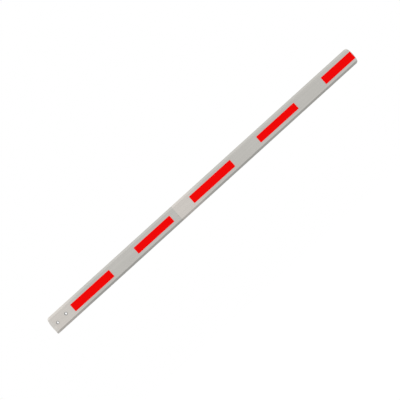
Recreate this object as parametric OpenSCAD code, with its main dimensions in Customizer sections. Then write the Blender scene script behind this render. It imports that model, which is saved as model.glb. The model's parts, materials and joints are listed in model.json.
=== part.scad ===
// Boom arm of a parking barrier gate, in its closed (level) position.
// X runs from the root to the tip, Z is up, and the front face looks along -Y.
// The origin is midway between the two arm bolts, on the rear face that seats on the gate.

/* [Boom profile] */
// Height of the boom's face, edge to edge
boom_h = 110; // [100:1:140]
// Thickness of the boom, front to rear
boom_d = 45; // [38:1:60]
// Leg of the bevel along each long edge
edge_bevel = 12.5; // [8:0.5:15]
// Rounding of the profile's outer arrises
arris_r = 1.5; // [0.5:0.1:3]
// Wall of the extruded tubes
wall = 2; // [1.5:0.1:3]
// Thickness of the two inner webs
web_t = 1.8; // [1.2:0.1:3]
// Distance between the centres of the webs
web_pitch = 36; // [30:1:44]

/* [Lengths] */
// Length of the root tube
base_len = 964; // [900:1:1600]
// Length of the tip tube
tip_len = 1396; // [1200:1:2500]
// Hairline gap at the butt joint between the tubes
seam_gap = 0.5; // [0.2:0.1:2]

/* [Arm bolts] */
// Distance along the boom between the two bolt holes
bolt_spacing = 70; // [50:1:110]
// Rise of the inner bolt hole above the end one
bolt_stagger = 7; // [0:1:8]
// Distance from the root tube's end to the first bolt hole
bolt_inset = 21.5; // [18:0.5:60]
// Bore of the bolt sleeves
sleeve_bore = 13; // [8:0.5:14]
// Outer diameter of the bolt sleeves
sleeve_od = 20; // [17:0.5:24]
// Radial clearance of a sleeve in the tube and the liner
sleeve_fit = 0.05; // [0.02:0.01:0.2]
// Length of the liner round the sleeves
liner_len = 160; // [130:5:300]
// Wall of the liner
liner_wall = 3; // [2:0.1:5]
// Distance of the liner from the root tube's end
liner_inset = 2; // [1:0.5:6]

/* [Splice] */
// Length of the two channels inside the butt joint
splice_len = 360; // [280:10:600]
// Wall of the channels
splice_wall = 3; // [2:0.1:4]
// Clearance of the channels, the liner and the cap lugs in the tubes
slide_fit = 0.3; // [0.1:0.05:0.6]
// Distance from the joint to the first screws of each tube
splice_first = 45; // [20:1:60]
// Distance from a channel's end to its last screws
splice_end = 50; // [20:1:60]

/* [Screws] */
// Thread of the splice screws
splice_screw_d = 5; // [4:0.5:6]
// Head of the splice screws
button_d = 9.5; // [8:0.5:11]
// Height of the button head
button_h = 2.75; // [2:0.05:3.5]
// Width across the flats of the socket
socket_w = 3; // [2:0.5:4]
// Depth of the socket
socket_depth = 1.6; // [1:0.1:2]
// How far a splice screw stands through the channel
screw_tail = 3; // [1:0.5:8]
// Thread of the cap screws
cap_screw_d = 4.2; // [3:0.1:5]
// Head of the cap screws
cap_head_d = 8.4; // [7:0.1:10]
// Depth of a cap screw's head below the arch, at the head's outer side
head_depth = 0.3; // [0.1:0.1:1]
// Reach of a cap screw into the tube
cap_screw_reach = 20; // [12:1:40]
// Width and depth of the cross recess in a cap screw
recess_size = [1.1, 1.2]; // [0.8:0.1:1.6]
// Radial clearance of a thread in its tapped hole
thread_fit = 0.05; // [0.02:0.01:0.1]
// Radial clearance of a screw in its passing hole
screw_room = 0.25; // [0.1:0.05:0.6]

/* [Screw ports] */
// Wall of the ports that take the cap screws
port_wall = 1.7; // [1.2:0.1:2.5]
// Height of a port's bore above its web
port_rise = 0.6; // [0.2:0.1:1.5]
// Width of the slot along each port
port_slot = 3.2; // [2.8:0.1:3.6]

/* [End caps] */
// Length of an end cap outside the tube
cap_len = 20; // [19:1:40]
// Wall of an end cap
cap_wall = 3; // [2.5:0.1:4]
// Rounding of a cap's edges at the front and rear faces
cap_edge_r = 2; // [1:0.5:4]
// Radius of the arch that shapes the tip and the upper half of the root end
end_arch_r = 160; // [140:5:400]
// Rounding where the arch meets the boom's long edges
arch_corner_r = 14; // [6:0.5:16]
// Rounding of the root cap's square lower corner
root_corner_r = 4; // [2:0.5:12]
// Depth of the lugs that plug into the tube
lug_len = 25; // [12:1:60]
// Wall of the lugs
lug_wall = 2.5; // [2:0.1:4]
// Outer diameter of the screw bosses inside a cap
boss_d = 9; // [7:0.5:11]

/* [Reflective strips] */
// Thickness of the reflective sheeting
strip_t = 0.4; // [0.2:0.1:1]
// Width of the first, third and last strips
strip_w_wide = 51; // [40:1:56]
// Width of the second and fourth strips
strip_w_narrow = 46; // [36:1:56]
// Rounding of the strips' corners
strip_r = 3; // [1:0.5:8]
// Lengths of the five strips, from the root to the tip
strip_len = [304, 283, 326, 304, 237]; // [200:1:340]
// How far each hand-laid strip sits below the middle of the face
strip_drop = [0.5, 0.5, -1.5, 0, 1]; // [-3:0.5:3]
// Distance of the first strip from the root tube's end
first_strip_start = 143; // [100:1:200]
// Distance of the second strip from the butt joint
second_strip_gap = 41; // [20:1:100]
// Distance of the third strip from the butt joint
third_strip_start = 118; // [20:1:200]
// Space between the fourth strip and the last
last_strip_space = 220; // [100:1:300]
// Distance of the last strip from the very tip
end_strip_inset = 4; // [4:0.5:12]

/* [Hidden] */
$fn = 48;
eps = 0.5;

// Stations along the boom
base_x = -bolt_spacing / 2 - bolt_inset;
seam_x = base_x + base_len;
tip_x = seam_x + seam_gap;
end_x = tip_x + tip_len;
mid_y = -boom_d / 2;

// Arm bolts: the end hole lies low and the inner one high
end_bolt = [-bolt_spacing / 2, -bolt_stagger / 2];
inner_bolt = [bolt_spacing / 2, bolt_stagger / 2];

// Heights in the profile: the web's outer face, and the axis of the screw port that stands on it
web_top = (web_pitch + web_t) / 2;
port_r = cap_screw_d / 2 + thread_fit;
port_z = web_top + port_rise + port_r;
liner_h = web_pitch - web_t - 2 * slide_fit;
liner_d = boom_d - 2 * wall - 2 * slide_fit;

// Cap ends: an outline's reach back past the lugs, the arch's centre, and the centre of its corner round
cap_back = lug_len + eps;
arch_x = cap_len - end_arch_r;
corner_z = boom_h / 2 - arch_corner_r;
corner_x = arch_x + sqrt(pow(end_arch_r - arch_corner_r, 2) - pow(corner_z, 2));

// Cap screws lie deep enough for the arch to pass over the outer side of their heads
sink_r = cap_head_d / 2 + screw_room;
cap_sink = head_depth + end_arch_r - sqrt(pow(end_arch_r, 2) - pow(port_z + sink_r, 2));
cap_grip = cap_len - cap_sink + cap_screw_reach;

// Splice screws sit in the middle of the bare margin beside the strips
flat_half = boom_h / 2 - edge_bevel;
splice_row = (flat_half + strip_w_wide / 2) / 2;
splice_offsets = [splice_first, splice_len / 2 - splice_end];
base_screw_x = [for (d = splice_offsets) seam_x + seam_gap / 2 - d];
tip_screw_x = [for (d = splice_offsets) seam_x + seam_gap / 2 + d];
splice_grip = wall + slide_fit + splice_wall + screw_tail;

// Each strip's start, length, width and drop below the middle
last_strip_x = end_x + cap_len - end_strip_inset - strip_len[4];
strips = [
    [base_x + first_strip_start, strip_len[0], strip_w_wide, strip_drop[0]],
    [seam_x - second_strip_gap - strip_len[1], strip_len[1], strip_w_narrow, strip_drop[1]],
    [tip_x + third_strip_start, strip_len[2], strip_w_wide, strip_drop[2]],
    [last_strip_x - last_strip_space - strip_len[3], strip_len[3], strip_w_narrow, strip_drop[3]],
    [last_strip_x, strip_len[4], strip_w_wide, strip_drop[4]]
];

// Finishes
boom_grey = [0.76, 0.745, 0.72];
mill_grey = [0.66, 0.67, 0.68];
zinc_grey = [0.58, 0.59, 0.6];
cap_grey = [0.72, 0.71, 0.69];
strip_red = [0.93, 0.03, 0.02];

// Profiles, drawn with the boom's depth along x and its height along y

function octagon(d, h, leg) = [
    [d / 2, h / 2 - leg], [d / 2 - leg, h / 2],
    [leg - d / 2, h / 2], [-d / 2, h / 2 - leg],
    [-d / 2, leg - h / 2], [leg - d / 2, -h / 2],
    [d / 2 - leg, -h / 2], [d / 2, leg - h / 2]
];

function unit(v) = v / norm(v);

// The octagon moved inwards by the same distance on all eight sides
module inset_outline(inset) {
    leg = edge_bevel - inset * (2 - sqrt(2));
    polygon(octagon(boom_d - 2 * inset, boom_h - 2 * inset, leg));
}

// The outer octagon with a small round on each arris
module boom_outline() {
    half_turn = 22.5;
    corners = octagon(boom_d, boom_h, edge_bevel);
    count = len(corners);
    cut = arris_r * tan(half_turn);
    sides = [for (i = [0:count - 1]) [
        unit(corners[(i + count - 1) % count] - corners[i]),
        unit(corners[(i + 1) % count] - corners[i])
    ]];
    polygon([for (i = [0:count - 1]) for (side = sides[i]) corners[i] + cut * side]);
    for (i = [0:count - 1])
        translate(corners[i] + unit(sides[i][0] + sides[i][1]) * arris_r / cos(half_turn))
            circle(arris_r);
}

// Eight-sided tube with two webs, each carrying a slotted screw port on its outer face
module tube_section() {
    difference() {
        boom_outline();
        difference() {
            inset_outline(wall);
            for (side = [-1, 1]) {
                translate([0, side * web_pitch / 2])
                    square([boom_d, web_t], center = true);
                translate([0, side * port_z])
                    circle(port_r + port_wall);
            }
        }
        for (side = [-1, 1]) {
            translate([0, side * port_z])
                circle(port_r);
            translate([-port_slot / 2, side > 0 ? port_z : -port_z - port_r - port_wall])
                square([port_slot, port_r + port_wall]);
        }
    }
}

// Arch that lines the top or the bottom chamber of the tube and stays open towards the web
module arch_section(side, thickness) {
    foot = web_top + slide_fit;
    intersection() {
        difference() {
            inset_outline(wall + slide_fit);
            inset_outline(wall + slide_fit + thickness);
        }
        translate([-boom_d / 2, side > 0 ? foot : -foot - boom_h])
            square([boom_d, boom_h]);
    }
}

// Box section that slides into the middle chamber
module liner_section() {
    difference() {
        square([liner_d, liner_h], center = true);
        square([liner_d - 2 * liner_wall, liner_h - 2 * liner_wall], center = true);
    }
}

// Rectangle along x whose far end has two round corners
module round_ended(length, height, corner_r) {
    translate([0, -height / 2])
        square([length - corner_r, height]);
    translate([0, corner_r - height / 2])
        square([length, height - 2 * corner_r]);
    for (side = [-1, 1])
        translate([length - corner_r, side * (height / 2 - corner_r)])
            circle(corner_r);
}

// Front view of the upper half of an arched end: a sector of the arch, and a round up to the long edge
module arched_half() {
    rise = corner_z / (corner_x - arch_x);
    reach = 2 * end_arch_r;
    translate([-cap_back, 0])
        square([cap_back + corner_x, boom_h / 2]);
    translate([corner_x, corner_z])
        circle(arch_corner_r);
    translate([arch_x, 0])
        intersection() {
            circle(end_arch_r);
            polygon([[0, 0], [reach, 0], [reach, reach * rise]]);
        }
}

// Front view of the lower half of a square end
module square_half() {
    intersection() {
        translate([-cap_back, 0])
            round_ended(cap_back + cap_len, boom_h, root_corner_r);
        translate([-cap_back, -boom_h])
            square([cap_back + cap_len, boom_h]);
    }
}

// Front view of a cap, from past its lugs to its end
module end_outline(lower_arched) {
    arched_half();
    if (lower_arched)
        mirror([0, 1, 0])
            arched_half();
    else
        square_half();
}

// Extrudes a profile along the boom
module along_boom(x, length) {
    translate([x, mid_y, 0])
        rotate([90, 0, 90])
            linear_extrude(length)
                children();
}

// Extrudes a front view through the boom's whole thickness
module through_boom() {
    translate([0, eps, 0])
        rotate([90, 0, 0])
            linear_extrude(boom_d + 2 * eps)
                children();
}

// Extrudes a top view through the boom's whole height
module up_boom() {
    translate([0, mid_y, -boom_h / 2 - eps])
        linear_extrude(boom_h + 2 * eps)
            children();
}

// Disc that follows an arched end, with its rim rounded towards the front and rear faces
module arch_disc() {
    translate([arch_x, mid_y, 0])
        rotate([90, 0, 0])
            rotate_extrude()
                round_ended(end_arch_r, boom_d, cap_edge_r);
}

// All that lies inside the rounded edges of a cap's end
module rounded_end(lower_arched) {
    if (lower_arched)
        arch_disc();
    else {
        half = [cap_back + cap_len, boom_d + 2 * eps, boom_h];
        intersection() {
            arch_disc();
            translate([-cap_back, -boom_d - eps, 0])
                cube(half);
        }
        intersection() {
            up_boom()
                translate([-cap_back, 0])
                    round_ended(cap_back + cap_len, boom_d, cap_edge_r);
            translate([-cap_back, -boom_d - eps, -boom_h])
                cube(half);
        }
    }
}

// Round bar across the boom at a bolt, from face to face and past it by the overrun
module bolt_bar(bolt, radius, overrun = 0) {
    translate([bolt[0], overrun, bolt[1]])
        rotate([90, 0, 0])
            cylinder(r = radius, h = boom_d + 2 * overrun);
}

// Places screws on the rear face, heads outwards
module at_splice(stations) {
    for (x = stations)
        for (side = [-1, 1])
            translate([x, 0, side * splice_row])
                rotate([-90, 0, 0])
                    children();
}

module splice_holes(stations, radius) {
    at_splice(stations)
        translate([0, 0, -splice_grip])
            cylinder(r = radius, h = splice_grip + eps);
}

// Screws, with the head's seat or face at z = 0 and the thread below it

module button_screw() {
    dome_r = (pow(button_d / 2, 2) + pow(button_h, 2)) / (2 * button_h);
    difference() {
        union() {
            rotate_extrude()
                intersection() {
                    translate([0, button_h - dome_r])
                        circle(dome_r);
                    square([button_d, button_h]);
                }
            translate([0, 0, -splice_grip])
                cylinder(d = splice_screw_d, h = splice_grip + eps);
        }
        translate([0, 0, button_h - socket_depth])
            cylinder(d = socket_w / cos(30), h = socket_depth + eps, $fn = 6);
    }
}

module countersunk_screw() {
    head_h = (cap_head_d - cap_screw_d) / 2;
    difference() {
        union() {
            translate([0, 0, -head_h])
                cylinder(d1 = cap_screw_d, d2 = cap_head_d, h = head_h);
            translate([0, 0, -cap_grip])
                cylinder(d = cap_screw_d, h = cap_grip - head_h / 2);
        }
        for (turn = [0, 90])
            rotate(turn)
                translate([-cap_screw_d / 2, -recess_size[0] / 2, -recess_size[1]])
                    cube([cap_screw_d, recess_size[0], recess_size[1] + eps]);
    }
}

// Places the two cap screws in the end of a cap at the origin
module at_cap_screws() {
    for (side = [-1, 1])
        translate([cap_len - cap_sink, mid_y, side * port_z])
            rotate([0, 90, 0])
                children();
}

// Moulded cap at the origin: a hollow end with two plug lugs and two screw bosses
module end_cap(lower_arched) {
    back = cap_wall * sqrt(2);
    difference() {
        intersection() {
            union() {
                difference() {
                    along_boom(0, cap_len)
                        boom_outline();
                    intersection() {
                        along_boom(-eps, cap_len)
                            inset_outline(cap_wall);
                        translate([-back, 0, 0])
                            through_boom()
                                end_outline(lower_arched);
                    }
                }
                for (side = [-1, 1]) {
                    along_boom(-lug_len, lug_len + cap_wall)
                        arch_section(side, lug_wall);
                    translate([0, mid_y, side * port_z])
                        rotate([0, 90, 0])
                            cylinder(d = boss_d, h = cap_len);
                }
            }
            through_boom()
                end_outline(lower_arched);
            rounded_end(lower_arched);
        }
        at_cap_screws() {
            translate([0, 0, -cap_len])
                cylinder(d = cap_screw_d + 2 * screw_room, h = cap_len);
            translate([0, 0, -sink_r])
                cylinder(r1 = 0, r2 = sink_r, h = sink_r);
            cylinder(r = sink_r, h = cap_sink + eps);
        }
    }
}

module base_tube() {
    color(boom_grey)
        difference() {
            along_boom(base_x, base_len)
                tube_section();
            for (bolt = [end_bolt, inner_bolt])
                bolt_bar(bolt, sleeve_od / 2 + sleeve_fit, eps);
            splice_holes(base_screw_x, splice_screw_d / 2 + screw_room);
        }
}

module tip_tube() {
    color(boom_grey)
        difference() {
            along_boom(tip_x, tip_len)
                tube_section();
            splice_holes(tip_screw_x, splice_screw_d / 2 + screw_room);
        }
}

module bolt_sleeve(bolt) {
    color(zinc_grey)
        difference() {
            bolt_bar(bolt, sleeve_od / 2);
            bolt_bar(bolt, sleeve_bore / 2, eps);
        }
}

module root_liner() {
    color(mill_grey)
        difference() {
            along_boom(base_x + liner_inset, liner_len)
                liner_section();
            for (bolt = [end_bolt, inner_bolt])
                bolt_bar(bolt, sleeve_od / 2 + sleeve_fit, eps);
        }
}

module splice_channel(side) {
    color(mill_grey)
        difference() {
            along_boom(seam_x + seam_gap / 2 - splice_len / 2, splice_len)
                arch_section(side, splice_wall);
            splice_holes(concat(base_screw_x, tip_screw_x), splice_screw_d / 2 + thread_fit);
        }
}

module splice_screws(stations) {
    color(zinc_grey)
        at_splice(stations)
            button_screw();
}

module root_cap() {
    color(cap_grey)
        translate([base_x, 0, 0])
            mirror([1, 0, 0])
                end_cap(lower_arched = false);
}

module tip_cap() {
    color(cap_grey)
        translate([end_x, 0, 0])
            end_cap(lower_arched = true);
}

module root_cap_screws() {
    color(zinc_grey)
        translate([base_x, 0, 0])
            mirror([1, 0, 0])
                at_cap_screws()
                    countersunk_screw();
}

module tip_cap_screws() {
    color(zinc_grey)
        translate([end_x, 0, 0])
            at_cap_screws()
                countersunk_screw();
}

// One strip of sheeting with its lower face at y = 0 and its outer face along -Y
module strip(row) {
    corner = [row[1] / 2 - strip_r, row[2] / 2 - strip_r];
    color(strip_red)
        translate([row[0] + row[1] / 2, 0, -row[3]])
            rotate([90, 0, 0])
                linear_extrude(strip_t) {
                    square([row[1], row[2] - 2 * strip_r], center = true);
                    square([row[1] - 2 * strip_r, row[2]], center = true);
                    for (x = [-corner[0], corner[0]])
                        for (z = [-corner[1], corner[1]])
                            translate([x, z])
                                circle(strip_r);
                }
}

module front_strip(i) {
    translate([0, -boom_d, 0])
        strip(strips[i - 1]);
}

module rear_strip(i) {
    translate([0, strip_t, 0])
        strip(strips[i - 1]);
}

base_tube();
tip_tube();
bolt_sleeve(end_bolt);  // end_bolt_sleeve
bolt_sleeve(inner_bolt);  // inner_bolt_sleeve
root_liner();
splice_channel(1);  // splice_channel_upper
splice_channel(-1);  // splice_channel_lower
splice_screws(base_screw_x);  // splice_screws_base
splice_screws(tip_screw_x);  // splice_screws_tip
root_cap();
tip_cap();
root_cap_screws();
tip_cap_screws();
for (i = [1:len(strips)]) {
    front_strip(i);
    rear_strip(i);
}
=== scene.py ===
import json
import math

import bpy
from mathutils import Matrix, Vector


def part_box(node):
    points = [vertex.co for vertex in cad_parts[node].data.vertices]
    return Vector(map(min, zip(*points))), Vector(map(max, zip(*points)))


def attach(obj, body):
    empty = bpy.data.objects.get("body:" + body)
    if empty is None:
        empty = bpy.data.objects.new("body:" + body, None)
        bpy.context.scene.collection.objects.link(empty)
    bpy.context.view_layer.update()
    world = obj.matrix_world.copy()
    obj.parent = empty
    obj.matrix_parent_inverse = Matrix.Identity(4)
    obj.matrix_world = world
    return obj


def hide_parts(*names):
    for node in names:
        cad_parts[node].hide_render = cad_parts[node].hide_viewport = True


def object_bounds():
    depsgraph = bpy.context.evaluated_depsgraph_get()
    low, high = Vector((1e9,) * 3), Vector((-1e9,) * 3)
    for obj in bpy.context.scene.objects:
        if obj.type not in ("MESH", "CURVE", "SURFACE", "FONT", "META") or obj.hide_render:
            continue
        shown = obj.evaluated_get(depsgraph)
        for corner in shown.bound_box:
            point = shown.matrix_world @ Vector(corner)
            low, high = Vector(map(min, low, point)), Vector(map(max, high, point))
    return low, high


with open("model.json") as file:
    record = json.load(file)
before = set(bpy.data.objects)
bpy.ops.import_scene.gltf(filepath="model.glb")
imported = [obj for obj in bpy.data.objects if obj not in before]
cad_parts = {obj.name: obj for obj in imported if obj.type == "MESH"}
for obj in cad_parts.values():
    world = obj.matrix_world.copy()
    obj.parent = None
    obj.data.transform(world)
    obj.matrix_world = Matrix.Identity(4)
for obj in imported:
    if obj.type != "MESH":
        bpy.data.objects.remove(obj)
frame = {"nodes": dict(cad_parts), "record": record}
cadLow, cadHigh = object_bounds()
nodes = frame["nodes"]
mounts = {row["name"]: row for row in frame["record"]["mounts"]}
baseLow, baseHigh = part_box("base_tube")
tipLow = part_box("tip_tube")[0]
print("frame loaded with", len(nodes), "nodes")


def srgb(hexText):  # sRGB hex to linear colour
    parts = [int(hexText[i:i + 2], 16) / 255 for i in (1, 3, 5)]
    return [p / 12.92 if p <= 0.04045 else ((p + 0.055) / 1.055) ** 2.4 for p in parts] + [1.0]


def addNode(tree, kind, settings=None, links=None):  # settings and links go by a socket's name or number
    made = tree.nodes.new(kind)
    for key, value in (settings or {}).items():
        if isinstance(key, int) or key in made.inputs:
            made.inputs[key].default_value = value
        else:
            setattr(made, key, value)
    for key, source in (links or {}).items():
        tree.links.new(source, made.inputs[key])
    return made


def metres(sizeMm):
    return sizeMm / 1000


def perMetre(sizeMm):  # texture scale of a pattern that is this big in millimetres
    return 1000 / sizeMm


def newMaterial(name):
    made = bpy.data.materials.new(name)
    made.use_nodes = True
    made.node_tree.nodes.clear()
    return made, made.node_tree


white = srgb("#FFFFFF")
colourA, colourB, colourOut = 6, 7, 2      # colour sockets of a Mix node
vectorA, vectorB, vectorOut = 4, 5, 1      # and its vector sockets
noiseLow, noiseHigh = 0.3, 0.7             # what a noise texture fills in practice

# camera, at the picture's viewing angle
cameraSet = {
    "lens": 120.0,                         # mm, on a 36 mm sensor
    "distance": 7.849,
    "aim": (1.0622, baseLow.y, -0.0314),
    "yaw": 4.0,                            # degrees, the root end is a little nearer
    "roll": 42.22,                         # degrees, the boom rises to the right
}


def placeCamera(values):
    yaw, roll = math.radians(values["yaw"]), math.radians(values["roll"])
    ahead = Vector((math.sin(yaw), math.cos(yaw), 0))
    level = Vector((math.cos(yaw), -math.sin(yaw), 0))
    plumb = Vector((0, 0, 1))
    right = level * math.cos(roll) - plumb * math.sin(roll)
    above = level * math.sin(roll) + plumb * math.cos(roll)
    turn = Matrix((right, above, -ahead)).transposed().to_4x4()
    bpy.ops.object.camera_add()
    made = bpy.context.object
    made.name = "photoCamera"
    made.data.lens = values["lens"]
    made.matrix_world = Matrix.Translation(Vector(values["aim"]) - ahead * values["distance"]) @ turn
    bpy.context.scene.camera = made


placeCamera(cameraSet)
print("camera placed")

# studio: white surround, pale floor that turns white further off, soft lamp
studioSet = {
    "floorHeight": -4.0,                   # low enough that the picture shows only the white of it
    "floorSize": 80.0,
    "floorGrey": "#B7B7B7",                # near the boom, whose lower bevels show it
    "whiteBegins": 4.0,                    # metres from the boom's middle
    "whiteFull": 10.0,
    "whiteLift": 0.4,                      # added to what the floor reflects, so a shadow stays
    "seenStrength": 1.0,                   # of the surround where it is seen, 1 is white
    "fillStrength": 1.28,                  # of the surround as a light
    "keyStrength": 0.15,
    "keySpread": 50.0,                     # degrees across, so its shadow is soft
    "keyDirection": (0.05, 0.4, -0.92),
}


def raysThatSee(tree):  # 1 for what the camera sees, directly or in metal and glass
    ray = addNode(tree, "ShaderNodeLightPath")
    seen = addNode(tree, "ShaderNodeMath", {"operation": "MAXIMUM"},
                   {0: ray.outputs["Is Camera Ray"], 1: ray.outputs["Is Glossy Ray"]})
    seen = addNode(tree, "ShaderNodeMath", {"operation": "MAXIMUM"},
                   {0: seen.outputs[0], 1: ray.outputs["Is Transmission Ray"]})
    return seen.outputs[0]


def makeStudio(values):
    middle = (cadLow + cadHigh) / 2
    world = bpy.data.worlds.new("whiteStudio")
    bpy.context.scene.world = world
    world.use_nodes = True
    tree = world.node_tree
    tree.nodes.clear()
    level = addNode(tree, "ShaderNodeMapRange",
                    {"To Min": values["fillStrength"], "To Max": values["seenStrength"]},
                    {"Value": raysThatSee(tree)})
    glow = addNode(tree, "ShaderNodeBackground", {"Color": white}, {"Strength": level.outputs[0]})
    addNode(tree, "ShaderNodeOutputWorld", links={"Surface": glow.outputs[0]})

    bpy.ops.mesh.primitive_plane_add(size=values["floorSize"],
                                     location=(middle.x, middle.y, values["floorHeight"]))
    floor = bpy.context.object
    floor.name = "studioFloor"
    paint, tree = newMaterial("paleFloorPaint")
    place = addNode(tree, "ShaderNodeTexCoord").outputs["Object"]
    off = addNode(tree, "ShaderNodeVectorMath", {"operation": "LENGTH"}, {0: place})
    lift = addNode(tree, "ShaderNodeMapRange",
                   {"interpolation_type": "SMOOTHSTEP", "To Min": 0.0, "To Max": values["whiteLift"],
                    "From Min": values["whiteBegins"], "From Max": values["whiteFull"]},
                   {"Value": off.outputs["Value"]})
    lift = addNode(tree, "ShaderNodeMath", {"operation": "MULTIPLY"},
                   {0: lift.outputs[0], 1: raysThatSee(tree)})
    matt = addNode(tree, "ShaderNodeBsdfDiffuse", {"Color": srgb(values["floorGrey"])})
    glow = addNode(tree, "ShaderNodeEmission", {"Color": white}, {"Strength": lift.outputs[0]})
    both = addNode(tree, "ShaderNodeAddShader", links={0: matt.outputs[0], 1: glow.outputs[0]})
    addNode(tree, "ShaderNodeOutputMaterial", links={"Surface": both.outputs[0]})
    floor.data.materials.append(paint)

    shining = Vector(values["keyDirection"])
    bpy.ops.object.light_add(type="SUN", location=middle - shining)
    key = bpy.context.object
    key.name = "softKey"
    key.data.energy = values["keyStrength"]
    key.data.angle = math.radians(values["keySpread"])
    key.rotation_euler = shining.to_track_quat("-Z", "Y").to_euler()


makeStudio(studioSet)
bpy.context.scene.view_settings.view_transform = "Standard"
print("studio lit")

# anodised aluminium, extruded: a satin metal with faint die lines along it, and painted light: each length is
# painted paler at its root end, where it was lit brighter
boomSet = {
    "grey": "#C1BFBA",
    # painted light: the paler colour painted at each length's root end
    "pale": "#D0CBC5",
    "paintedLightReach": 0.09,                     # metres of full painted light
    "paintedLightFade": 0.29,                      # metres at which the painted light is gone
    "roughness": (0.38, 0.46),
    "dieRunMm": 700.0,
    "dieLineMm": 1.2,                      # real die lines are finer, drawn coarse so that they show close up
    "dieDetail": 3.0,
    "dieDepthMm": 0.06,
    "dieBump": 0.5,
    "dieChange": 0.035,
    "bandMm": 16.0,                        # wider bands that show from a step away
    "bandChange": 0.02,
    "cloudMm": 90.0,
    "cloudDetail": 4.0,
    "scuffMm": (30.0, 0.8),                # length and width of handling scuffs
    "scuffDetail": 2.0,
    "scuffTilt": 0.03,                     # radians off the boom's length
    "scuffBegins": 0.68,                   # of the noise, so that scuffs stay few
    "scuffFull": 0.76,
    "scuffRoughness": 0.15,
}


def anodisedAluminium(name, rootEnd, values):
    made, tree = newMaterial(name)
    place = addNode(tree, "ShaderNodeTexCoord").outputs["Object"]
    along = addNode(tree, "ShaderNodeSeparateXYZ", links={0: place})
    # painted light: the colour turns paler towards the length's root end
    pale = addNode(tree, "ShaderNodeMapRange",
                   {"interpolation_type": "SMOOTHSTEP", "To Min": 1.0, "To Max": 0.0,
                    "From Min": rootEnd + values["paintedLightReach"], "From Max": rootEnd + values["paintedLightFade"]},
                   {"Value": along.outputs["X"]})
    tone = addNode(tree, "ShaderNodeMix",
                   {"data_type": "RGBA", colourA: srgb(values["grey"]), colourB: srgb(values["pale"])},
                   {0: pale.outputs[0]})

    streaks = []
    for size, change in (("dieLineMm", "dieChange"), ("bandMm", "bandChange")):
        run, width = perMetre(values["dieRunMm"]), perMetre(values[size])
        stretch = addNode(tree, "ShaderNodeMapping", {"Scale": (run, width, width)}, {"Vector": place})
        lines = addNode(tree, "ShaderNodeTexNoise", {"Scale": 1.0, "Detail": values["dieDetail"]},
                        {"Vector": stretch.outputs[0]})
        streak = addNode(tree, "ShaderNodeMapRange",
                         {"From Min": noiseLow, "From Max": noiseHigh,
                          "To Min": 1 - values[change], "To Max": 1 + values[change]},
                         {"Value": lines.outputs[0]})
        streaks.append(streak.outputs[0])
    dieLines, bands = streaks
    shade = addNode(tree, "ShaderNodeMath", {"operation": "MULTIPLY"}, {0: dieLines, 1: bands})
    colour = addNode(tree, "ShaderNodeHueSaturation",
                     links={"Value": shade.outputs[0], "Color": tone.outputs[colourOut]})

    smoothest, roughest = values["roughness"]
    clouds = addNode(tree, "ShaderNodeTexNoise",
                     {"Scale": perMetre(values["cloudMm"]), "Detail": values["cloudDetail"]},
                     {"Vector": place})
    satin = addNode(tree, "ShaderNodeMapRange",
                    {"From Min": noiseLow, "From Max": noiseHigh, "To Min": smoothest, "To Max": roughest},
                    {"Value": clouds.outputs[0]})
    length, width = [perMetre(size) for size in values["scuffMm"]]
    stretch = addNode(tree, "ShaderNodeMapping",
                      {"Scale": (length, width, width), "Rotation": (0, values["scuffTilt"], 0)},
                      {"Vector": place})
    scuffs = addNode(tree, "ShaderNodeTexNoise", {"Scale": 1.0, "Detail": values["scuffDetail"]},
                     {"Vector": stretch.outputs[0]})
    scuffed = addNode(tree, "ShaderNodeMapRange",
                      {"From Min": values["scuffBegins"], "From Max": values["scuffFull"],
                       "To Min": 0.0, "To Max": values["scuffRoughness"]},
                      {"Value": scuffs.outputs[0]})
    rough = addNode(tree, "ShaderNodeMath", {"operation": "ADD"},
                    {0: satin.outputs[0], 1: scuffed.outputs[0]})

    relief = addNode(tree, "ShaderNodeBump",
                     {"Strength": values["dieBump"], "Distance": metres(values["dieDepthMm"])},
                     {"Height": dieLines})
    shader = addNode(tree, "ShaderNodeBsdfPrincipled", {"Metallic": 1.0},
                     {"Base Color": colour.outputs[0], "Roughness": rough.outputs[0],
                      "Normal": relief.outputs[0]})
    addNode(tree, "ShaderNodeOutputMaterial", links={"Surface": shader.outputs[0]})
    return made


# one copy for each length, each with its painted light at its own root end
rootLengthMetal = anodisedAluminium("anodisedAluminiumRoot", baseLow.x, boomSet)
tipLengthMetal = anodisedAluminium("anodisedAluminiumTip", tipLow.x, boomSet)

# mill finish aluminium: brighter and streakier than the anodised boom, with grey oxide in the streaks
millSet = {
    "bright": "#C2C4C6",
    "oxide": "#9EA0A2",
    "streakMm": (260.0, 2.4),              # length and width
    "streakDetail": 5.0,
    "oxideBegins": 0.35,                   # of the noise
    "oxideFull": 0.65,
    "roughness": (0.3, 0.45),
    "depthMm": 0.03,
    "bump": 0.5,
}


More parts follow.
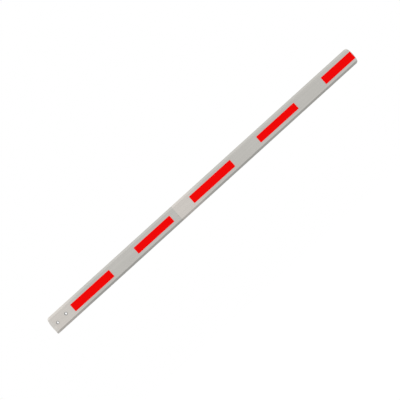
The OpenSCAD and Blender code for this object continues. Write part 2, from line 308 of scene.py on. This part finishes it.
def millAluminium(values):
    made, tree = newMaterial("millAluminium")
    place = addNode(tree, "ShaderNodeTexCoord").outputs["Object"]
    length, width = [perMetre(size) for size in values["streakMm"]]
    stretch = addNode(tree, "ShaderNodeMapping", {"Scale": (length, width, width)}, {"Vector": place})
    streaks = addNode(tree, "ShaderNodeTexNoise", {"Scale": 1.0, "Detail": values["streakDetail"]},
                      {"Vector": stretch.outputs[0]})
    share = addNode(tree, "ShaderNodeMapRange",
                    {"From Min": values["oxideBegins"], "From Max": values["oxideFull"]},
                    {"Value": streaks.outputs[0]})
    colour = addNode(tree, "ShaderNodeMix",
                     {"data_type": "RGBA", colourA: srgb(values["bright"]), colourB: srgb(values["oxide"])},
                     {0: share.outputs[0]})
    smoothest, roughest = values["roughness"]
    rough = addNode(tree, "ShaderNodeMapRange", {"To Min": smoothest, "To Max": roughest},
                    {"Value": share.outputs[0]})
    relief = addNode(tree, "ShaderNodeBump",
                     {"Strength": values["bump"], "Distance": metres(values["depthMm"])},
                     {"Height": streaks.outputs[0]})
    shader = addNode(tree, "ShaderNodeBsdfPrincipled", {"Metallic": 1.0},
                     {"Base Color": colour.outputs[colourOut], "Roughness": rough.outputs[0],
                      "Normal": relief.outputs[0]})
    addNode(tree, "ShaderNodeOutputMaterial", links={"Surface": shader.outputs[0]})
    return made


millMetal = millAluminium(millSet)

# zinc plated steel: mid grey with a soft shine, mottled by the plating bath and speckled by handling
zincSet = {
    "grey": "#A5A4A1",
    "dull": "#8B8A88",
    "mottleMm": 3.5,
    "mottleDetail": 5.0,
    "mottleGrain": 0.6,                    # how strong the finest mottles are
    "dullBegins": 0.35,                    # of the noise
    "dullFull": 0.7,
    "roughness": (0.32, 0.5),
    "speckMm": 0.7,
    "speckDetail": 2.0,
    "depthMm": 0.02,
    "bump": 0.4,
}


def zincPlatedSteel(values):
    made, tree = newMaterial("zincPlatedSteel")
    place = addNode(tree, "ShaderNodeTexCoord").outputs["Object"]
    mottle = addNode(tree, "ShaderNodeTexNoise",
                     {"Scale": perMetre(values["mottleMm"]), "Detail": values["mottleDetail"],
                      "Roughness": values["mottleGrain"]}, {"Vector": place})
    share = addNode(tree, "ShaderNodeMapRange",
                    {"From Min": values["dullBegins"], "From Max": values["dullFull"]},
                    {"Value": mottle.outputs[0]})
    colour = addNode(tree, "ShaderNodeMix",
                     {"data_type": "RGBA", colourA: srgb(values["grey"]), colourB: srgb(values["dull"])},
                     {0: share.outputs[0]})
    smoothest, roughest = values["roughness"]
    rough = addNode(tree, "ShaderNodeMapRange", {"To Min": smoothest, "To Max": roughest},
                    {"Value": share.outputs[0]})
    specks = addNode(tree, "ShaderNodeTexNoise",
                     {"Scale": perMetre(values["speckMm"]), "Detail": values["speckDetail"]},
                     {"Vector": place})
    relief = addNode(tree, "ShaderNodeBump",
                     {"Strength": values["bump"], "Distance": metres(values["depthMm"])},
                     {"Height": specks.outputs[0]})
    shader = addNode(tree, "ShaderNodeBsdfPrincipled", {"Metallic": 1.0},
                     {"Base Color": colour.outputs[colourOut], "Roughness": rough.outputs[0],
                      "Normal": relief.outputs[0]})
    addNode(tree, "ShaderNodeOutputMaterial", links={"Surface": shader.outputs[0]})
    return made


zincMetal = zincPlatedSteel(zincSet)

# moulded ABS, coloured to match the boom: an even satin grey with the fine pits of a spark-eroded mould; the
# root cap's copy is painted paler, painted light like that on the boom's root end
plasticSet = {
    "paintedLightRootTones": ("#CDC9C3", "#C8C4BE"),   # grey and its shade, painted paler: painted light like that on the boom's root end
    "tipTones": ("#C1BEB9", "#BCB9B4"),
    "cloudMm": 18.0,
    "cloudDetail": 3.0,
    "pitMm": 0.9,                          # real pits are finer, drawn coarse so that they show close up
    "pitDepthMm": 0.25,
    "bump": 0.5,
    "ior": 1.53,
    "roughness": (0.46, 0.58),
}


def mouldedPlastic(name, tones, values):
    made, tree = newMaterial(name)
    place = addNode(tree, "ShaderNodeTexCoord").outputs["Object"]
    clouds = addNode(tree, "ShaderNodeTexNoise",
                     {"Scale": perMetre(values["cloudMm"]), "Detail": values["cloudDetail"]},
                     {"Vector": place})
    share = addNode(tree, "ShaderNodeMapRange", {"From Min": noiseLow, "From Max": noiseHigh},
                    {"Value": clouds.outputs[0]})
    grey, shade = tones
    colour = addNode(tree, "ShaderNodeMix", {"data_type": "RGBA", colourA: srgb(grey), colourB: srgb(shade)},
                     {0: share.outputs[0]})
    smoothest, roughest = values["roughness"]
    rough = addNode(tree, "ShaderNodeMapRange", {"To Min": smoothest, "To Max": roughest},
                    {"Value": share.outputs[0]})
    pits = addNode(tree, "ShaderNodeTexVoronoi", {"Scale": perMetre(values["pitMm"])}, {"Vector": place})
    relief = addNode(tree, "ShaderNodeBump",
                     {"Strength": values["bump"], "Distance": metres(values["pitDepthMm"])},
                     {"Height": pits.outputs["Distance"]})
    shader = addNode(tree, "ShaderNodeBsdfPrincipled", {"IOR": values["ior"]},
                     {"Base Color": colour.outputs[colourOut], "Roughness": rough.outputs[0],
                      "Normal": relief.outputs[0]})
    addNode(tree, "ShaderNodeOutputMaterial", links={"Surface": shader.outputs[0]})
    return made


# the root cap's copy carries painted light, paler like the boom's root end
paintedLightRootCapPlastic = mouldedPlastic("mouldedPlasticRoot", plasticSet["paintedLightRootTones"], plasticSet)
tipCapPlastic = mouldedPlastic("mouldedPlasticTip", plasticSet["tipTones"], plasticSet)

# retroreflective sheeting: deep red film sealed to its backing in honeycomb cells with slightly darker lines
sheetingSet = {
    "red": "#F50706",
    "seal": "#DD0908",
    "cellMm": 4.0,                         # shows close up, evens out at the picture's size
    "sealShare": 0.1,                      # of a cell's width
    "sealDepthMm": 0.06,
    "bump": 0.5,
    "mottleMm": 50.0,                      # slow unevenness of the laid film
    "mottleDetail": 3.0,
    "mottleChange": 0.015,
    "roughness": (0.38, 0.46),
    "specular": 0.01,                      # the picture's red has no white sheen
}


def reflectiveSheeting(values):
    made, tree = newMaterial("reflectiveSheeting")
    place = addNode(tree, "ShaderNodeTexCoord").outputs["Object"]
    axes = addNode(tree, "ShaderNodeSeparateXYZ", links={0: place})
    face = addNode(tree, "ShaderNodeCombineXYZ", links={0: axes.outputs["X"], 1: axes.outputs["Z"]})
    cells = addNode(tree, "ShaderNodeVectorMath", {"operation": "SCALE", "Scale": perMetre(values["cellMm"])},
                    {0: face.outputs[0]})
    halfCell, halfRows = 0.5, math.sqrt(3) / 2     # half of a cell's width, and of two rows, in cells
    half = Vector((halfCell, halfRows, halfCell))
    shifted = addNode(tree, "ShaderNodeVectorMath", {"operation": "ADD", 1: half}, {0: cells.outputs[0]})
    even, odd = [addNode(tree, "ShaderNodeVectorMath", {"operation": "WRAP", 1: half, 2: -half},
                         {0: grid.outputs[0]}) for grid in (cells, shifted)]
    evenFar, oddFar = [addNode(tree, "ShaderNodeVectorMath", {"operation": "LENGTH"}, {0: row.outputs[0]})
                       for row in (even, odd)]
    oddNearer = addNode(tree, "ShaderNodeMath", {"operation": "GREATER_THAN"},
                        {0: evenFar.outputs["Value"], 1: oddFar.outputs["Value"]})
    inCell = addNode(tree, "ShaderNodeMix", {"data_type": "VECTOR"},
                     {0: oddNearer.outputs[0], vectorA: even.outputs[0], vectorB: odd.outputs[0]})
    folded = addNode(tree, "ShaderNodeVectorMath", {"operation": "ABSOLUTE"}, {0: inCell.outputs[vectorOut]})
    sixtyDegrees = (halfCell, halfRows, 0)         # the way a cell's slanted sides face
    slant = addNode(tree, "ShaderNodeVectorMath", {"operation": "DOT_PRODUCT", 1: sixtyDegrees},
                    {0: folded.outputs[0]})
    across = addNode(tree, "ShaderNodeSeparateXYZ", links={0: folded.outputs[0]})
    edge = addNode(tree, "ShaderNodeMath", {"operation": "MAXIMUM"},
                   {0: slant.outputs["Value"], 1: across.outputs["X"]})
    seal = addNode(tree, "ShaderNodeMapRange",
                   {"interpolation_type": "SMOOTHSTEP", "From Min": halfCell - values["sealShare"],
                    "From Max": halfCell}, {"Value": edge.outputs[0]})

    film = addNode(tree, "ShaderNodeMix",
                   {"data_type": "RGBA", colourA: srgb(values["red"]), colourB: srgb(values["seal"])},
                   {0: seal.outputs[0]})
    mottle = addNode(tree, "ShaderNodeTexNoise",
                     {"Scale": perMetre(values["mottleMm"]), "Detail": values["mottleDetail"]},
                     {"Vector": place})
    change = addNode(tree, "ShaderNodeMapRange",
                     {"From Min": noiseLow, "From Max": noiseHigh,
                      "To Min": 1 - values["mottleChange"], "To Max": 1 + values["mottleChange"]},
                     {"Value": mottle.outputs[0]})
    colour = addNode(tree, "ShaderNodeHueSaturation",
                     links={"Value": change.outputs[0], "Color": film.outputs[colourOut]})
    smoothest, roughest = values["roughness"]
    rough = addNode(tree, "ShaderNodeMapRange", {"To Min": smoothest, "To Max": roughest},
                    {"Value": mottle.outputs[0]})
    relief = addNode(tree, "ShaderNodeBump",
                     {"invert": True, "Strength": values["bump"], "Distance": metres(values["sealDepthMm"])},
                     {"Height": seal.outputs[0]})
    shader = addNode(tree, "ShaderNodeBsdfPrincipled", {"Specular IOR Level": values["specular"]},
                     {"Base Color": colour.outputs[0], "Roughness": rough.outputs[0],
                      "Normal": relief.outputs[0]})
    addNode(tree, "ShaderNodeOutputMaterial", links={"Surface": shader.outputs[0]})
    return made


redFilm = reflectiveSheeting(sheetingSet)
print("materials mixed")

# the CAD nodes that stay get their finishes
finishes = {"boom_aluminium": rootLengthMetal, "mill_aluminium": millMetal, "zinc_steel": zincMetal,
            "cap_plastic": paintedLightRootCapPlastic, "red_sheeting": redFilm}
for row in frame["record"]["subparts"]:
    for holder in nodes[row["node"]].material_slots:
        holder.material = finishes[row["material_slot"]]
for node, material in (("tip_tube", tipLengthMetal), ("tip_cap", tipCapPlastic)):
    for holder in nodes[node].material_slots:
        holder.material = material
print("finishes set")

quarterTurn = math.pi / 2
facing = 0.9                               # a picked face points this nearly along its axis
tiny = 1e-5                                # metres within which points count as level
smoothAngle = math.radians(35)             # sharper edges than this stay crisp


def settle(name):  # names what was just added and puts its place into its mesh
    piece = bpy.context.object
    piece.name = piece.data.name = name
    bpy.ops.object.transform_apply(location=True, rotation=True, scale=True)
    return piece


def pick(piece, kind, test):  # selects FACEs, or EDGEs by their two points, and stays in edit mode
    bpy.ops.object.mode_set(mode="EDIT")
    bpy.ops.mesh.select_mode(type=kind)
    bpy.ops.mesh.select_all(action="DESELECT")
    bpy.ops.object.mode_set(mode="OBJECT")
    mesh = piece.data
    if kind == "FACE":
        for face in mesh.polygons:
            face.select = test(face)
    else:
        for edge in mesh.edges:
            edge.select = test(*(mesh.vertices[i].co for i in edge.vertices))
    bpy.ops.object.mode_set(mode="EDIT")


def carve(piece, cutter):  # takes the cutter's shape out of the piece
    bpy.context.view_layer.objects.active = piece
    bpy.ops.object.modifier_add(type="BOOLEAN")
    made = piece.modifiers[-1]
    made.operation, made.solver, made.object = "DIFFERENCE", "EXACT", cutter
    bpy.ops.object.modifier_apply(modifier=made.name)
    bpy.data.objects.remove(cutter)


def spread(model, turn, places, name):  # one piece from copies of the model, which is then thrown away
    bpy.ops.object.select_all(action="DESELECT")
    copies = []
    for place in places:
        copy = model.copy()
        copy.data = model.data.copy()
        copy.rotation_euler, copy.location = turn, place
        bpy.context.scene.collection.objects.link(copy)
        copy.select_set(True)
        copies.append(copy)
    bpy.context.view_layer.objects.active = copies[0]
    bpy.ops.object.join()
    bpy.data.objects.remove(model)
    return settle(name)


def handOver(piece, material, node):  # smooth, finished, and standing for its CAD node
    bpy.ops.object.select_all(action="DESELECT")
    piece.select_set(True)
    bpy.context.view_layer.objects.active = piece
    bpy.ops.object.shade_smooth_by_angle(angle=smoothAngle)
    piece.data.materials.clear()
    piece.data.materials.append(material)
    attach(piece, "root")
    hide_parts(node)


# bolt sleeves: turned steel tubes through the root, chamfered at both mouths
sleeveSet = {
    "bore": metres(mounts["end_bolt_hole"]["dims"]["r_mm"]),  # radius, the same in both
    "chamfer": 0.0007,
    "chamferSteps": 2,
    "sides": 96,
}


def makeSleeve(node, name, values):
    low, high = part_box(node)
    middle, outer = (low + high) / 2, (high.x - low.x) / 2
    bpy.ops.object.select_all(action="DESELECT")
    bpy.ops.mesh.primitive_cylinder_add(vertices=values["sides"], radius=outer, depth=high.y - low.y,
                                        location=middle, rotation=(quarterTurn, 0, 0))
    piece = settle(name)
    pick(piece, "FACE", lambda face: abs(face.normal.y) > facing)
    bpy.ops.mesh.inset(thickness=outer - values["bore"], use_individual=True)
    bpy.ops.mesh.bridge_edge_loops()
    bpy.ops.object.mode_set(mode="OBJECT")

    def rim(a, b):  # circles at the two mouths
        far = [math.hypot(p.x - middle.x, p.z - middle.z) for p in (a, b)]
        return abs(a.y - b.y) < tiny and abs(far[0] - far[1]) < tiny and (a - b).length < values["bore"]

    pick(piece, "EDGE", rim)
    bpy.ops.mesh.bevel(offset=values["chamfer"], segments=values["chamferSteps"], affect="EDGES")
    bpy.ops.mesh.select_all(action="SELECT")
    bpy.ops.mesh.normals_make_consistent(inside=False)
    bpy.ops.object.mode_set(mode="OBJECT")
    handOver(piece, zincMetal, node)


makeSleeve("end_bolt_sleeve", "endBoltSleeve", sleeveSet)
makeSleeve("inner_bolt_sleeve", "innerBoltSleeve", sleeveSet)
print("bolt sleeves turned")

# splice screws: button heads with a hexagon socket, on the rear face
buttonSet = {
    "headRadius": 0.00475,
    "shankRadius": 0.0025,
    "crown": 0.0021,                       # rounding from the rim up to the flat top
    "crownSteps": 7,
    "socketSides": 6,
    "socketAcross": 0.003,
    "socketDepth": 0.0016,
    "socketLead": 0.00025,                 # how far the cutter stands out of the head
    "tipChamfer": 0.0006,
    "sides": 48,
}


def makeButtonScrews(node, name, values):
    low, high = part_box(node)
    headHigh, shank = high.y - baseHigh.y, baseHigh.y - low.y
    radius = values["headRadius"]
    bpy.ops.object.select_all(action="DESELECT")
    bpy.ops.mesh.primitive_cylinder_add(vertices=values["sides"], radius=radius, depth=headHigh,
                                        location=(0, 0, headHigh / 2))
    screw = settle(name)
    pick(screw, "FACE", lambda face: face.normal.z < -facing)
    bpy.ops.mesh.inset(thickness=radius - values["shankRadius"])
    bpy.ops.mesh.extrude_region_move(TRANSFORM_OT_translate={"value": (0, 0, -shank)})
    pick(screw, "EDGE", lambda a, b: max(a.z, b.z) < tiny - shank)
    bpy.ops.mesh.bevel(offset=values["tipChamfer"], segments=1, affect="EDGES")
    pick(screw, "EDGE", lambda a, b: min(a.z, b.z) > headHigh - tiny)
    bpy.ops.mesh.bevel(offset=values["crown"], segments=values["crownSteps"], affect="EDGES")
    bpy.ops.object.mode_set(mode="OBJECT")

    corner = values["socketAcross"] / math.sqrt(3)  # from the hexagon's middle
    bpy.ops.mesh.primitive_cylinder_add(vertices=values["socketSides"], radius=corner,
                                        depth=2 * values["socketDepth"], location=(0, 0, headHigh))
    socket = settle("socket")
    pick(socket, "FACE", lambda face: face.normal.z > facing)
    bpy.ops.mesh.extrude_region_move(TRANSFORM_OT_translate={"value": (0, 0, values["socketLead"])})
    bpy.ops.object.mode_set(mode="OBJECT")
    carve(screw, socket)
    row = high.z - radius
    places = [(x, baseHigh.y, z) for x in (low.x + radius, high.x - radius) for z in (-row, row)]
    handOver(spread(screw, (-quarterTurn, 0, 0), places, name), zincMetal, node)


makeButtonScrews("splice_screws_base", "spliceScrewsBase", buttonSet)
makeButtonScrews("splice_screws_tip", "spliceScrewsTip", buttonSet)
print("splice screws driven")

# cap screws: countersunk heads with a cross recess, sunk in the ends
countersunkSet = {
    "headRadius": 0.0042,
    "shankRadius": 0.0021,
    "land": 0.0002,                        # upright rim of the head
    "recessWide": 0.0011,
    "recessLong": 0.0042,
    "recessDepth": 0.0015,
    "recessTaper": 0.55,
    "tipChamfer": 0.0007,
    "sides": 48,
}


def makeCapScrews(node, name, outwards, values):
    low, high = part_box(node)
    radius, shankRadius, land = values["headRadius"], values["shankRadius"], values["land"]
    cone, whole = radius - shankRadius, high.x - low.x
    bpy.ops.object.select_all(action="DESELECT")
    bpy.ops.mesh.primitive_cylinder_add(vertices=values["sides"], radius=shankRadius,
                                        depth=whole - cone - land,
                                        location=(0, 0, -(whole + cone + land) / 2))
    screw = settle(name)
    pick(screw, "EDGE", lambda a, b: max(a.z, b.z) < tiny - whole)
    bpy.ops.mesh.bevel(offset=values["tipChamfer"], segments=1, affect="EDGES")
    pick(screw, "FACE", lambda face: face.normal.z > facing)
    bpy.ops.mesh.extrude_region_move(TRANSFORM_OT_translate={"value": (0, 0, cone)})
    widen = radius / shankRadius
    bpy.ops.transform.resize(value=(widen, widen, 1), center_override=(0, 0, 0))
    bpy.ops.mesh.extrude_region_move(TRANSFORM_OT_translate={"value": (0, 0, land)})
    bpy.ops.object.mode_set(mode="OBJECT")

    depth, taper = values["recessDepth"], values["recessTaper"]
    for turn in (0, quarterTurn):
        bpy.ops.mesh.primitive_cube_add(size=1, rotation=(0, 0, turn),
                                        scale=(values["recessLong"], values["recessWide"], 2 * depth))
        wing = settle("wing")
        pick(wing, "FACE", lambda face: face.normal.z < -facing)
        bpy.ops.transform.resize(value=(taper, taper, 1), center_override=(0, 0, 0))
        bpy.ops.object.mode_set(mode="OBJECT")
        carve(screw, wing)
    row, middle = high.z - radius, (low.y + high.y) / 2
    end = high.x if outwards > 0 else low.x
    places = [(end, middle, z) for z in (-row, row)]
    handOver(spread(screw, (0, outwards * quarterTurn, 0), places, name), zincMetal, node)


makeCapScrews("root_cap_screws", "rootCapScrews", -1, countersunkSet)
makeCapScrews("tip_cap_screws", "tipCapScrews", 1, countersunkSet)
print("cap screws driven")
